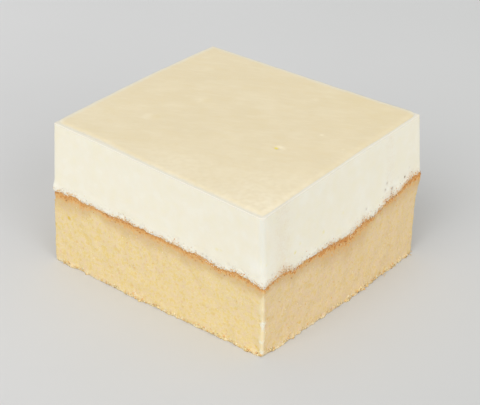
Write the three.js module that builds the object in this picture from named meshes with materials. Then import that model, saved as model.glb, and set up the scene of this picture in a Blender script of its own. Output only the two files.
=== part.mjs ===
// A portion of tres leches cake, cut by hand from a tray bake: a soaked yellow sponge,
// a thick layer of set milk cream on it, and a thin pale glaze poured over the top.
// Units are millimetres, +Z is up, and the origin is the middle of the foot.
// The long front face looks along -Y and the right face along +X.

import * as THREE from "three";
import { mergeVertices } from "three/addons/utils/BufferGeometryUtils.js";

// Heights of the layers
const CAKE_HEIGHT = 39.75;
const SPONGE_HEIGHT = 20.85;
const GLAZE_THICKNESS = 0.7;
const LAYER_GAP = 0.3;

// Corners of the cut as [x, y], in the order near left, near right, far right, far left,
// at the foot, at the seam between sponge and cream, and at the top
const FOOT_CORNERS = [[-34.7, -30.3], [33.8, -30.9], [33.4, 31.4], [-33.3, 29.9]];
const SEAM_CORNERS = [[-34.5, -30.2], [34.6, -31.7], [33.65, 33.25], [-32.9, 29.6]];
const TOP_CORNERS = [[-34.1, -29.7], [34.9, -33.1], [32.6, 32.8], [-32.2, 29.1]];
const CORNER_RADIUS = 0.6;

// How far the front, right, back and left sides bow outwards between their corners
const FOOT_BOW = [0.5, 0.8, 0.3, 0.4];
const TOP_BOW = [-0.1, -0.3, -0.75, 0.5];

// Below the seam the sides draw in quickly, and then run almost straight down to the foot
const UNDERCUT = 3;

// The sponge's baked top isn't flat: each swell is [x, y, reach, rise]
const SPONGE_SWELLS = [
  [-34.4, -30.3, 5, -1.1],
  [0, -31.3, 14, 0.6],
  [20, -31.6, 4, -1.1],
  [27, -31.7, 2.5, 0.7],
  [34.6, -31.8, 3, -1.5],
  [36, -18, 13, -1.0],
  [34, 2.2, 7.5, -1.8],
  [34, 12.7, 6, -0.8],
  [34, 31.7, 9, 2.3],
  [-20, 30, 13, 0.8],
  [-34, 4, 10, -0.7],
];
const SPONGE_TOP_WAVE = 0.25;
const SPONGE_TOP_WAVELENGTH = 3.4;

// The cut face of the sponge is crumbly, and a little torn at the foot
const SPONGE_SETBACK = 0.25;
const CRUMB_DEPTH = 0.22;
const CRUMB_SIZE = 2.6;
const FOOT_TEAR = 0.25;
const FOOT_TEAR_HEIGHT = 1.6;

// The cream is cut smooth, flares at its foamy foot and has a soft upper edge
const CREAM_FLARE = 0.2;
const CREAM_FOAM = 0.22;
const FOAM_SIZE = 2.1;
const FOAM_SHARE = 0.2;
const KNIFE_DRAG = 0.06;
const KNIFE_DRAG_SIZE = { across: 4, upright: 16 };
const CREAM_EDGE_RADIUS = 0.7;
const CREAM_EDGE_INSET = 0.42;

// The glaze stops short of the cut edge, furthest on the left of the front
const GLAZE_SETBACK = [0.15, 0.5, 0.1, 0.1];
const GLAZE_SHORTFALL = { x: -17, reach: 10, extra: 0.85 };
const GLAZE_LIP = 0.2;
const GLAZE_RIPPLE = 0.06;
const GLAZE_RIPPLE_SIZE = 9;
const GLAZE_CRATER = { x: 16.6, y: -4.3, reach: 0.9, depth: 0.3 };

// Points along each side and round each corner, and the rows up each layer as shares of its height
const SIDE_POINTS = 35;
const CORNER_POINTS = 3;
const SPONGE_LEVELS = Array.from({ length: 14 }, (_, n) => n / 13);
const CREAM_LEVELS = [0, 0.06, 0.13, 0.24, 0.42, 0.66, 0.965, 0.985, 1];
const GLAZE_LEVELS = [0, 0.5, 1];

// Rings that close a face, as shares of its rim, each with all or half of the points of the last
const CAP_RINGS = [
  { share: 0.965, keepOneIn: 1 },
  { share: 0.91, keepOneIn: 2 },
  { share: 0.8, keepOneIn: 2 },
  { share: 0.58, keepOneIn: 2 },
];

// Smooth noise from -1 to 1 through space, the same on every run for the same seed
function latticeValue(i, j, k, seed) {
  let bits = Math.imul(i, 374761393) ^ Math.imul(j, 668265263) ^ Math.imul(k, 1103515245);
  bits = Math.imul(bits ^ Math.imul(seed, 40503), 1274126177);
  bits = Math.imul(bits ^ (bits >>> 13), 1274126177);
  return ((bits ^ (bits >>> 16)) >>> 0) / 2147483648 - 1;
}

function noise(x, y, z, seed) {
  const [i, j, k] = [x, y, z].map(Math.floor);
  const [u, v, w] = [x - i, y - j, z - k].map((t) => t * t * (3 - 2 * t));
  const mix = THREE.MathUtils.lerp;
  const row = (dj, dk) =>
    mix(latticeValue(i, j + dj, k + dk, seed), latticeValue(i + 1, j + dj, k + dk, seed), u);
  return mix(mix(row(0, 0), row(1, 0), v), mix(row(0, 1), row(1, 1), v), w);
}

function bell(distanceSquared, reach) {
  return Math.exp(-distanceSquared / reach ** 2);
}

// The cut's outline at any height
function cornersAt(height) {
  const below = height < SPONGE_HEIGHT;
  const [low, high] = below ? [FOOT_CORNERS, SEAM_CORNERS] : [SEAM_CORNERS, TOP_CORNERS];
  const share = below
    ? (Math.max(0, height) / SPONGE_HEIGHT) ** UNDERCUT
    : (height - SPONGE_HEIGHT) / (CAKE_HEIGHT - SPONGE_HEIGHT);
  return low.map((corner, n) => new THREE.Vector2(...corner).lerp(new THREE.Vector2(...high[n]), share));
}

function outwardNormal(from, to) {
  const along = to.clone().sub(from).normalize();
  return new THREE.Vector2(along.y, -along.x);
}

function pointOnSide(side, share, height) {
  const corners = cornersAt(height);
  const from = corners[side];
  const to = corners[(side + 1) % 4];
  const bow = THREE.MathUtils.lerp(FOOT_BOW[side], TOP_BOW[side], height / CAKE_HEIGHT);
  const point = from.clone().lerp(to, share);
  return point.addScaledVector(outwardNormal(from, to), bow * Math.sin(Math.PI * share));
}

// Places round the cut: evenly along each side, then round the corner at its end
function placesRound() {
  const places = [];
  for (let side = 0; side < 4; side++) {
    for (let n = 0; n < SIDE_POINTS; n++) {
      places.push({ side, along: (n + 0.5) / SIDE_POINTS });
    }
    for (let n = 1; n <= CORNER_POINTS; n++) {
      places.push({ side, turn: n / (CORNER_POINTS + 1) });
    }
  }
  return places;
}

const PLACES = placesRound();
const CORNER_SHARE = CORNER_RADIUS / (TOP_CORNERS[1][0] - TOP_CORNERS[0][0]);

function outline({ side, along, turn }, height) {
  if (turn === undefined) {
    return pointOnSide(side, THREE.MathUtils.lerp(CORNER_SHARE, 1 - CORNER_SHARE, along), height);
  }
  const nextSide = (side + 1) % 4;
  const start = pointOnSide(side, 1 - CORNER_SHARE, height);
  const end = pointOnSide(nextSide, CORNER_SHARE, height);
  return new THREE.QuadraticBezierCurve(start, cornersAt(height)[nextSide], end).getPoint(turn);
}

function outwardAt(index, height) {
  const count = PLACES.length;
  const before = outline(PLACES[(index + count - 1) % count], height);
  const after = outline(PLACES[(index + 1) % count], height);
  return outwardNormal(before, after);
}

// Heights of the faces that aren't level
function spongeTop(x, y) {
  const swell = SPONGE_SWELLS.reduce(
    (sum, [cx, cy, reach, rise]) => sum + rise * bell((x - cx) ** 2 + (y - cy) ** 2, reach),
    0,
  );
  const wave = SPONGE_TOP_WAVE * noise(x / SPONGE_TOP_WAVELENGTH, y / SPONGE_TOP_WAVELENGTH, 0, 11);
  return SPONGE_HEIGHT - LAYER_GAP / 2 + swell + wave;
}

function creamFoot(x, y) {
  return spongeTop(x, y) + LAYER_GAP;
}

const CREAM_HEIGHT = CAKE_HEIGHT - GLAZE_THICKNESS - LAYER_GAP;

function glazeTop(x, y) {
  const { x: cx, y: cy, reach, depth } = GLAZE_CRATER;
  const ripple = GLAZE_RIPPLE * (noise(x / GLAZE_RIPPLE_SIZE, y / GLAZE_RIPPLE_SIZE, 0, 23) - 1);
  return CAKE_HEIGHT + ripple - depth * bell((x - cx) ** 2 + (y - cy) ** 2, reach);
}

// A ring of points at one share of a layer's height, where push says how far each
// stands outside the plain outline of the cut
function ring(share, bottom, top, push) {
  return PLACES.map((place, index) => {
    const guide = outline(place, SPONGE_HEIGHT);
    const height = THREE.MathUtils.lerp(bottom(guide.x, guide.y), top(guide.x, guide.y), share);
    const point = outline(place, height);
    point.addScaledVector(outwardAt(index, height), push(point.x, point.y, height, share, place.side));
    const z = THREE.MathUtils.lerp(bottom(point.x, point.y), top(point.x, point.y), share);
    return new THREE.Vector3(point.x, point.y, z);
  });
}

// The triangles between two rings, where the second has as many points as the first or half
function bandBetween(first, second) {
  const triangles = [];
  const step = first.length / second.length;
  for (let n = 0; n < second.length; n++) {
    const start = n * step;
    const end = (start + step) % first.length;
    const next = second[(n + 1) % second.length];
    if (step === 2) {
      triangles.push([first[start], first[start + 1], second[n]]);
    }
    triangles.push([first[start + step - 1], first[end], second[n]]);
    triangles.push([first[end], next, second[n]]);
  }
  return triangles;
}

// A face closed by rings that shrink to its middle
function cap(rim, surface) {
  const triangles = [];
  let outer = rim;
  let kept = rim;
  for (const { share, keepOneIn } of CAP_RINGS) {
    kept = kept.filter((_, n) => n % keepOneIn === 0);
    const inner = kept.map((point) => {
      const { x, y } = point.clone().multiplyScalar(share);
      return new THREE.Vector3(x, y, surface(x, y));
    });
    triangles.push(...bandBetween(outer, inner));
    outer = inner;
  }
  const middle = new THREE.Vector3(0, 0, surface(0, 0));
  outer.forEach((point, n) => triangles.push([point, outer[(n + 1) % outer.length], middle]));
  return triangles;
}

function layerGeometry({ levels, bottom, top, push }) {
  const rings = levels.map((share) => ring(share, bottom, top, push));
  const sides = rings.slice(1).flatMap((upper, n) => bandBetween(rings[n], upper));
  const underside = cap(rings[0], bottom).map(([a, b, c]) => [a, c, b]);
  const triangles = [...sides, ...cap(rings.at(-1), top), ...underside];
  const loose = new THREE.BufferGeometry().setFromPoints(triangles.flat());
  const geometry = mergeVertices(loose, 1e-4);
  geometry.computeVertexNormals();
  return geometry;
}

// The soaked sponge: a crumbly cut face, a wavy baked top and a level underside
function makeSponge() {
  const push = (x, y, z, share) => {
    const crumb = CRUMB_DEPTH * noise(x / CRUMB_SIZE, y / CRUMB_SIZE, z / CRUMB_SIZE, 3);
    const nearFoot = Math.max(0, 1 - z / FOOT_TEAR_HEIGHT);
    const tear = FOOT_TEAR * nearFoot * noise(x / CRUMB_SIZE, y / CRUMB_SIZE, 0, 7);
    return crumb + tear - SPONGE_SETBACK * share;
  };
  return layerGeometry({ levels: SPONGE_LEVELS, bottom: () => 0, top: spongeTop, push });
}

// The set milk cream: smooth sides over a foamy foot, and an upper edge rounded by the knife
function makeCream() {
  const push = (x, y, z, share) => {
    const nearFoot = Math.max(0, 1 - share / FOAM_SHARE);
    const foam = CREAM_FLARE + CREAM_FOAM * noise(x / FOAM_SIZE, y / FOAM_SIZE, z / FOAM_SIZE, 17);
    const { across, upright } = KNIFE_DRAG_SIZE;
    const drag = KNIFE_DRAG * noise(x / across, y / across, z / upright, 19);
    const intoEdge = Math.max(0, 1 - (CREAM_HEIGHT - z) / CREAM_EDGE_RADIUS);
    const rounding = CREAM_EDGE_INSET * (1 - Math.sqrt(1 - Math.min(1, intoEdge) ** 2));
    return nearFoot * foam + drag - rounding;
  };
  return layerGeometry({ levels: CREAM_LEVELS, bottom: creamFoot, top: () => CREAM_HEIGHT, push });
}

// The glaze: a thin poured skin with one burst bubble, stopping short of the cut edge
function makeGlaze() {
  const push = (x, y, z, share, side) => {
    const { x: middle, reach, extra } = GLAZE_SHORTFALL;
    const shortfall = side === 0 ? extra * bell((x - middle) ** 2, reach) : 0;
    return -(GLAZE_SETBACK[side] + shortfall + GLAZE_LIP * share ** 2);
  };
  return layerGeometry({ levels: GLAZE_LEVELS, bottom: () => CREAM_HEIGHT + LAYER_GAP, top: glazeTop, push });
}

function piece(name, geometry, color, roughness) {
  const material = new THREE.MeshStandardMaterial({ color, roughness, metalness: 0 });
  const mesh = new THREE.Mesh(geometry, material);
  mesh.name = name;
  return mesh;
}

const cake = new THREE.Group();
cake.add(piece("sponge", makeSponge(), 0xe8d09c, 0.85));
cake.add(piece("cream", makeCream(), 0xf0ebd8, 0.55));
cake.add(piece("glaze", makeGlaze(), 0xe8dab5, 0.35));

export default cake;
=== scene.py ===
import math
from functools import partial

import bpy
import numpy as np
from mathutils import Matrix, Vector


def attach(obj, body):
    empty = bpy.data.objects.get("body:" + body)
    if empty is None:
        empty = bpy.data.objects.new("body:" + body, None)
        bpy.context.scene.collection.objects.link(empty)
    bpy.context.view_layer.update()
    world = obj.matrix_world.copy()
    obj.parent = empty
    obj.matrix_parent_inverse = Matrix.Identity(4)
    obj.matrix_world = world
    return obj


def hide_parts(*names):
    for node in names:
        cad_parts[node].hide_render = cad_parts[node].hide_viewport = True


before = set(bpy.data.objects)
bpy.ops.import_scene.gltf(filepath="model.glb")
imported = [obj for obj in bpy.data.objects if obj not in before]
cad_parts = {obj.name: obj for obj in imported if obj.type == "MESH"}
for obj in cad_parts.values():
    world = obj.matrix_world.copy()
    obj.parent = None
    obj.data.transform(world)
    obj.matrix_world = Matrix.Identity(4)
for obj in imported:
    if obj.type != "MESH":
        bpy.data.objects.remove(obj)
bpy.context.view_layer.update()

# The sponge: a plain yellow cake, baked in a tray and soaked with milk. Its top is browned
# and wavy from the oven, and the knife has left four crumbly sides full of small pores.
# It stands on its foot, and the cream was poured straight onto its skin.

# Lengths in this file are in millimetres, and MM takes them to Blender's metres
MM = 0.001
CAKE_HEIGHT = 39.75
SPONGE_HEIGHT = 20.85

# Corners of the cut in the order near left, near right, far right, far left, and how far
# the front, right, back and left sides bow out between them
FOOT_CORNERS = np.array([[-34.7, -30.3], [33.8, -30.9], [33.4, 31.4], [-33.3, 29.9]])
SEAM_CORNERS = np.array([[-34.5, -30.2], [34.6, -31.7], [33.65, 33.25], [-32.9, 29.6]])
TOP_CORNERS = np.array([[-34.1, -29.7], [34.9, -33.1], [32.6, 32.9], [-32.4, 29.4]])
FOOT_BOW = np.array([0.5, 0.8, 0.3, 0.4])
TOP_BOW = np.array([-0.1, -0.3, -0.25, 0.6])
CUT_LENGTH = 69
CORNER_SHARE = 0.6 / CUT_LENGTH
NEAR_EDGE_SHARE = 1.7 / CUT_LENGTH
UNDERCUT = 3

# Swells of the baked top as x, y, reach and rise
SPONGE_SWELLS = [
    (-34.4, -30.3, 5, -0.45), (-28, -30.8, 4, 0.2), (-15, -31, 3.5, -0.35), (0, -31.3, 14, 0.4),
    (5, -31.4, 5, -0.22), (14, -31.5, 3, 0.4), (19.5, -31.6, 4, -0.4), (27, -31.7, 2.5, 0.6),
    (34.6, -31.8, 3, -1), (36, -18, 13, -0.75), (34.5, -25, 3.5, 0.6), (34.3, -20.3, 1.8, -0.55),
    (34.2, -16.6, 1.8, 0.35), (34, -9.5, 4, -0.25), (34, -4.5, 3, 0.2), (34, 0.3, 2.5, -0.35),
    (34, 2.2, 7.5, -1.5), (34, 6.3, 3.5, 0.6), (34, 12.7, 6, -0.6), (34, 17.5, 4, 0.55),
    (34, 21.6, 1.3, -0.45), (34, 27, 4, 0.25), (34, 31.7, 9, 2.5), (-20, 30, 13, 0.8), (-34, 4, 10, -0.7),
]
SPONGE_TOP_WAVE = 0.25
SPONGE_TOP_WAVELENGTH = 3.4
SEAM_TEETH = 0.12
SEAM_TOOTH_SIZE = 1.1
RAGGED_SEAM = [(34, 12, 16, 1.8)]
SPONGE_SETBACK = 0.1
CRUMB_DEPTH = 0.13
CRUMB_SIZE = 2.6
FOOT_TEAR = 0.35
FOOT_FRAY = 0.45
FOOT_FRAY_SIZE = 0.9
FOOT_TEAR_HEIGHT = 1.4
SPONGE_ROWS = 74
POINTS_PER_SIDE = 240
POINTS_PER_CORNER = 5

# Places round the cut: the side that each is on, its share along that side, and its turn
# round the side's far corner, which is -1 on the side itself
along = [(n + 0.5) / POINTS_PER_SIDE for n in range(POINTS_PER_SIDE)] + [1.0] * POINTS_PER_CORNER
turn = [-1.0] * POINTS_PER_SIDE + [(n + 1) / (POINTS_PER_CORNER + 1) for n in range(POINTS_PER_CORNER)]
place_side = np.repeat(np.arange(4), len(along))
place_along = np.tile(along, 4)
place_turn = np.tile(turn, 4)


def lattice_value(i, j, k, seed):
    times = lambda a, b: (a * np.uint64(b)) & np.uint64(0xFFFFFFFF)
    i, j, k = ((axis.astype(np.int64) & 0xFFFFFFFF).astype(np.uint64) for axis in (i, j, k))
    bits = times(i, 374761393) ^ times(j, 668265263) ^ times(k, 1103515245)
    bits = times(bits ^ np.uint64(seed * 40503), 1274126177)
    bits = times(bits ^ (bits >> np.uint64(13)), 1274126177)
    return (bits ^ (bits >> np.uint64(16))).astype(float) / 2147483648 - 1


def noise(x, y, z, seed, size=1.0):
    """Smooth noise from -1 to 1, with features of the given size."""
    x, y, z = np.broadcast_arrays(np.asarray(x, float) / size, y / size, z / size)
    i, j, k = np.floor(x), np.floor(y), np.floor(z)
    u, v, w = (t * t * (3 - 2 * t) for t in (x - i, y - j, z - k))
    mix = lambda a, b, t: a + (b - a) * t
    at = lambda di, dj, dk: lattice_value(i + di, j + dj, k + dk, seed)
    row = lambda dj, dk: mix(at(0, dj, dk), at(1, dj, dk), u)
    return mix(mix(row(0, 0), row(1, 0), v), mix(row(0, 1), row(1, 1), v), w)


def bell(distance_squared, reach):
    return np.exp(-distance_squared / reach**2)


def spots_sum(spots, *where):
    """Adds up soft spots, each given as its place, its reach and its amount."""
    return sum(
        amount * bell(sum((axis - at) ** 2 for axis, at in zip(where, middle)), reach)
        for *middle, reach, amount in spots
    )


def sponge_top(x, y):
    """Height of the sponge's baked skin, where the cream begins."""
    wave = noise(x, y, 0, 11, SPONGE_TOP_WAVELENGTH)
    teeth = SEAM_TEETH * noise(x, y, 0, 13, SEAM_TOOTH_SIZE) * (1 + spots_sum(RAGGED_SEAM, x, y))
    return SPONGE_HEIGHT + spots_sum(SPONGE_SWELLS, x, y) + SPONGE_TOP_WAVE * wave + teeth


def corners_at(height):
    height = height[:, None, None]
    below = (np.clip(height, 0, None) / SPONGE_HEIGHT) ** UNDERCUT
    above = (height - SPONGE_HEIGHT) / (CAKE_HEIGHT - SPONGE_HEIGHT)
    low = FOOT_CORNERS + (SEAM_CORNERS - FOOT_CORNERS) * below
    high = SEAM_CORNERS + (TOP_CORNERS - SEAM_CORNERS) * above
    return np.where(height < SPONGE_HEIGHT, low, high)


def corner_share(corner, height):
    """How far along a side its corner's rounding reaches: furthest on the cream's near edge."""
    edge_share = np.clip((height - SPONGE_HEIGHT + 1) / 3, 0, 1) * (corner == 1)
    return CORNER_SHARE + (NEAR_EDGE_SHARE - CORNER_SHARE) * edge_share


def point_on_side(side, share, height):
    corners = corners_at(height)
    rows = np.arange(len(side))
    start, end = corners[rows, side], corners[rows, (side + 1) % 4]
    along = (end - start) / np.linalg.norm(end - start, axis=1)[:, None]
    outward = np.stack([along[:, 1], -along[:, 0]], axis=1)
    bow = FOOT_BOW[side] + (TOP_BOW - FOOT_BOW)[side] * height / CAKE_HEIGHT
    return start + (end - start) * share[:, None] + outward * (bow * np.sin(np.pi * share))[:, None]


def cut_outline(height):
    """Points at the places round the cut, at the given heights, and the way out at each."""
    side, next_side = place_side, (place_side + 1) % 4
    height = np.broadcast_to(np.asarray(height, float), side.shape)
    begin, end = corner_share(side, height), corner_share(next_side, height)
    straight = point_on_side(side, begin + place_along * (1 - begin - end), height)
    last = point_on_side(side, 1 - end, height)
    first = point_on_side(next_side, end, height)
    tip = corners_at(height)[np.arange(len(side)), next_side]
    t = place_turn[:, None]
    arc = last * (1 - t) ** 2 + tip * 2 * t * (1 - t) + first * t**2
    points = np.where(t < 0, straight, arc)
    tangent = np.roll(points, -1, axis=0) - np.roll(points, 1, axis=0)
    tangent /= np.linalg.norm(tangent, axis=1)[:, None]
    return points, np.stack([tangent[:, 1], -tangent[:, 0]], axis=1)


def layer_ring(share, bottom, top, push):
    """A ring at one share of a layer's height, pushed outwards by push(x, y, z)."""
    guide, _ = cut_outline(SPONGE_HEIGHT)
    height = bottom(*guide.T) * (1 - share) + top(*guide.T) * share
    points, outward = cut_outline(height)
    x, y = (points + outward * push(*points.T, height)[:, None]).T
    return np.stack([x, y, bottom(x, y) * (1 - share) + top(x, y) * share], axis=1)


def close_face(rim, surface, shares):
    """Rings on a face that shrink from its rim to its middle, or grow back to it."""
    flat_rings = [rim[:, :2] * share for share in shares]
    return [np.column_stack([ring, surface(*ring.T)]) for ring in flat_rings]


def level(height):
    """A face that is flat at one height."""
    return lambda x, y: np.full_like(x, height)


def faces_through(*corners):
    """Faces that join the points numbered in each of the arrays."""
    return np.stack(corners, axis=-1).reshape(-1, len(corners)).tolist()


def keep_on(mesh, name, values):
    """Keeps a value on each point of a mesh, which its relief and its colours read by name."""
    mesh.attributes.new(name, "FLOAT", "POINT").data.foreach_set("value", values.astype(np.float32))


def rings_to_mesh(name, rings, **values):
    """A closed mesh through the rings, from the middle of its underside to the middle of its
    top, that keeps values given as functions of x, y and z."""
    points = np.concatenate([rings[0].mean(axis=0)[None], *rings, rings[-1].mean(axis=0)[None]])
    loops = 1 + np.arange(len(points) - 2).reshape(len(rings), -1)
    turned = np.roll(loops, -1, axis=1)
    faces = faces_through(loops[:-1], turned[:-1], turned[1:], loops[1:])
    faces += faces_through(turned[0], loops[0], np.zeros_like(loops[0]))
    faces += faces_through(loops[-1], turned[-1], np.full_like(loops[-1], len(points) - 1))
    mesh = bpy.data.meshes.new(name)
    mesh.from_pydata((points * MM).tolist(), [], faces)
    for title, value_at in values.items():
        rows = [value_at(*ring.T) for ring in rings]
        keep_on(mesh, title, np.concatenate([rows[0][:1], *rows, rows[-1][:1]]))
    mesh.update()
    return mesh


def put_in_scene(data):
    thing = bpy.data.objects.new(data.name, data)
    bpy.context.scene.collection.objects.link(thing)
    return thing


def kept_value(tree, name):
    """Reads a value that is kept on the points, in a shape tree or in a material."""
    if tree.bl_idname == "ShaderNodeTree":
        return add_node(tree, "ShaderNodeAttribute", {"attribute_name": name}).outputs["Fac"]
    return add_node(tree, "GeometryNodeInputNamedAttribute", {"data_type": "FLOAT"}, Name=name).outputs[0]


def set_or_link(tree, socket, value):
    """Gives a node's input a number, an output, or a kept value by its name."""
    if isinstance(value, str) and socket.type == "VALUE":
        value = kept_value(tree, value)
    if isinstance(value, bpy.types.NodeSocket):
        tree.links.new(value, socket)
    else:
        socket.default_value = value


def add_node(tree, kind, settings=None, **inputs):
    """Adds a node and sets or links its inputs by their names, with _ for a space."""
    made = tree.nodes.new(kind)
    for name, value in (settings or {}).items():
        setattr(made, name, value)
    for name, value in inputs.items():
        title = name.replace("_", " ")
        socket = next(socket for socket in made.inputs if socket.name == title and socket.enabled)
        set_or_link(tree, socket, value)
    return made


def add_step(tree, kind, setting, *values):
    """Adds a node with values for its open inputs in turn, and gives its open output."""
    made = add_node(tree, kind, setting)
    for socket, value in zip([socket for socket in made.inputs if socket.enabled], values):
        set_or_link(tree, socket, value)
    return next(socket for socket in made.outputs if socket.enabled)


def add_math(tree, operation, *values):
    return add_step(tree, "ShaderNodeMath", {"operation": operation}, *values)


def add_product(tree, *values):
    return add_math(tree, "MULTIPLY", *values)


def add_scaled(tree, *values):
    """The first value times the second, plus the third."""
    return add_math(tree, "MULTIPLY_ADD", *values)


def add_vector_math(tree, operation, *values):
    return add_step(tree, "ShaderNodeVectorMath", {"operation": operation}, *values)


def add_ramp(tree, value, low, high, to_low=0.0, to_high=1.0):
    """A value taken smoothly from one range to another."""
    made = add_node(
        tree, "ShaderNodeMapRange", {"interpolation_type": "SMOOTHSTEP"},
        Value=value, From_Min=low, From_Max=high, To_Min=to_low, To_Max=to_high,
    )
    return made.outputs["Result"]


def add_noise(tree, where, size, detail=2.0, roughness=0.5):
    """Noise from 0 to 1 with features of the given size in millimetres."""
    scale = size if isinstance(size, bpy.types.NodeSocket) else 1 / (size * MM)
    made = add_node(tree, "ShaderNodeTexNoise", Vector=where, Scale=scale, Detail=detail, Roughness=roughness)
    return made.outputs[0]


def add_sway(tree, where, *settings):
    """The same noise, to either side of 0."""
    return add_math(tree, "SUBTRACT", add_noise(tree, where, *settings), 0.5)


def add_pits(tree, where, size, low, high):
    """Round pits set at random, one to each cell of the given size: 1 in a pit and 0 outside."""
    made = add_node(tree, "ShaderNodeTexVoronoi", Vector=where, Scale=1 / (size * MM))
    return add_ramp(tree, made.outputs["Distance"], high, low), made.outputs["Color"]


def add_sockets(tree, way, kinds):
    """Gives a tree its named inputs or outputs."""
    for title, kind in kinds.items():
        tree.interface.new_socket(title, in_out=way, socket_type="NodeSocket" + kind)


def shape_tree(name, inputs, build):
    """A Geometry Nodes tree with named inputs, which ends in real faces with their material set."""
    tree = bpy.data.node_groups.new(name, "GeometryNodeTree")
    add_sockets(tree, "INPUT", {"Geometry": "Geometry", **inputs, "Material": "Material"})
    add_sockets(tree, "OUTPUT", {"Geometry": "Geometry"})
    given = tree.nodes.new("NodeGroupInput").outputs
    where = tree.nodes.new("GeometryNodeInputPosition").outputs[0]
    made = build(tree, where, given)
    dressed = add_node(tree, "GeometryNodeSetMaterial", Geometry=made, Material=given["Material"])
    tree.links.new(dressed.outputs[0], tree.nodes.new("NodeGroupOutput").inputs[0])
    return tree


def keep_value(tree, geometry, name, value):
    """Keeps a value on each point, which the material reads by name."""
    return add_node(
        tree, "GeometryNodeStoreNamedAttribute", {"data_type": "FLOAT", "domain": "POINT"},
        Geometry=geometry, Name=name, Value=value,
    ).outputs[0]


def push_out(tree, given, height, hollow):
    """Moves the points along their normals, and keeps how deep each lies in a pore or pit."""
    stored = keep_value(tree, given["Geometry"], "hollow", hollow)
    normal = tree.nodes.new("GeometryNodeInputNormal").outputs[0]
    offset = add_vector_math(tree, "SCALE", normal, height)
    moved = add_node(tree, "GeometryNodeSetPosition", Geometry=stored, Offset=offset)
    return add_node(tree, "GeometryNodeRealizeInstances", Geometry=moved.outputs[0]).outputs[0]


def apply_tree(piece, tree, values):
    """Runs a Geometry Nodes tree on a piece and keeps the result as its plain mesh."""
    modifier = piece.modifiers.new(tree.name, "NODES")
    modifier.node_group = tree
    for item in tree.interface.items_tree:
        if item.in_out == "INPUT" and item.name in values:
            modifier[item.identifier] = values[item.name]
    graph = bpy.context.evaluated_depsgraph_get()
    graph.update()
    made = bpy.data.meshes.new_from_object(
        piece.evaluated_get(graph), preserve_all_data_layers=True, depsgraph=graph
    )
    piece.modifiers.remove(modifier)
    made.name = piece.name
    piece.data = made
    made.polygons.foreach_set("use_smooth", np.ones(len(made.polygons), bool))


def new_material(name, roughness, specular, *scatter):
    """A material with its shader, and the place on the piece that its patterns read. scatter is
    the share of the light that goes in, how far it goes, and how that differs by colour."""
    material = bpy.data.materials.new(name)
    material.use_nodes = True
    tree = material.node_tree
    shader = tree.nodes["Principled BSDF"]
    titles = ("Roughness", "Specular IOR Level", "Subsurface Weight", "Subsurface Scale", "Subsurface Radius")
    for title, value in zip(titles, (roughness, specular, *scatter)):
        shader.inputs[title].default_value = value
    where = tree.nodes.new("ShaderNodeTexCoord").outputs["Object"]
    return material, tree, shader, where


def srgb(red, green, blue):
    """A colour given as screen values from 0 to 255."""
    return (*(((c / 255 + 0.055) / 1.055) ** 2.4 for c in (red, green, blue)), 1.0)


def add_mix(tree, share, under, over):
    return add_step(tree, "ShaderNodeMix", {"data_type": "RGBA"}, share, under, over)


def paint(tree, shader, colour, *coats):
    """Lays coats over the ground colour in turn and gives the result to the shader. A coat is a
    tone, the value that places it, the limits where it begins and is full unless the value is
    a share itself, and its strength."""
    for tone, value, *limits, strength in coats:
        if limits:
            value = add_ramp(tree, value, *limits, 0, strength)
        elif strength != 1:
            value = add_product(tree, value, strength)
        colour = add_mix(tree, value, colour, tone)
    tree.links.new(colour, shader.inputs["Base Color"])


def add_bump(tree, shader, height, depth):
    made = add_node(tree, "ShaderNodeBump", Height=height, Distance=depth * MM)
    tree.links.new(made.outputs["Normal"], shader.inputs["Normal"])


def grain_effect():
    """Fine grain over soft patches, which crumb, cream and glaze all show at their own sizes."""
    group = bpy.data.node_groups.new("fine grain", "ShaderNodeTree")
    sizes = {"Grains per Metre": "Float", "Patches per Metre": "Float"}
    add_sockets(group, "INPUT", {"Place": "Vector", **sizes})
    given = group.nodes.new("NodeGroupInput").outputs
    grain = add_noise(group, given["Place"], given["Grains per Metre"], 2, 0.6)
    patches = add_noise(group, given["Place"], given["Patches per Metre"], 2)
    results = {
        "Pale": add_ramp(group, grain, 0.5, 0.72),
        "Deep": add_ramp(group, grain, 0.47, 0.28),
        "Patch": add_ramp(group, patches, 0.4, 0.72),
        "Height": grain,
    }
    add_sockets(group, "OUTPUT", dict.fromkeys(results, "Float"))
    leave = group.nodes.new("NodeGroupOutput")
    for title, value in results.items():
        group.links.new(value, leave.inputs[title])
    return group


def add_grain(tree, where, grain_size, patch_size):
    made = add_node(
        tree, "ShaderNodeGroup", {"node_tree": fine_grain},
        Place=where, Grains_per_Metre=1 / (grain_size * MM), Patches_per_Metre=1 / (patch_size * MM),
    )
    return made.outputs


fine_grain = grain_effect()
CRUMB_YELLOW = srgb(237, 215, 162)
CRUMB_PALE = srgb(248, 235, 202)
CRUMB_GOLD = srgb(235, 207, 126)
CRUMB_WARM = srgb(237, 211, 176)
CRUMB_SIDE_SHADE = srgb(209, 168, 148)
CRUMB_ORANGE = srgb(228, 180, 114)
PORE_SHADE = srgb(214, 178, 118)
SKIN_HALO = srgb(206, 169, 120)
SKIN_BROWN = srgb(229, 180, 112)
SKIN_DARK = srgb(202, 128, 56)
SKIN_BURNT = srgb(150, 104, 66)

# A share for each cut side, from the front round to the left: it makes the browned band more ragged and
# darker, and paints shade on the crumb, most on the right side
SOAK_AND_SHADE_SIDES = np.array([0, 0.2, 0.12, 0.05])

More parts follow.
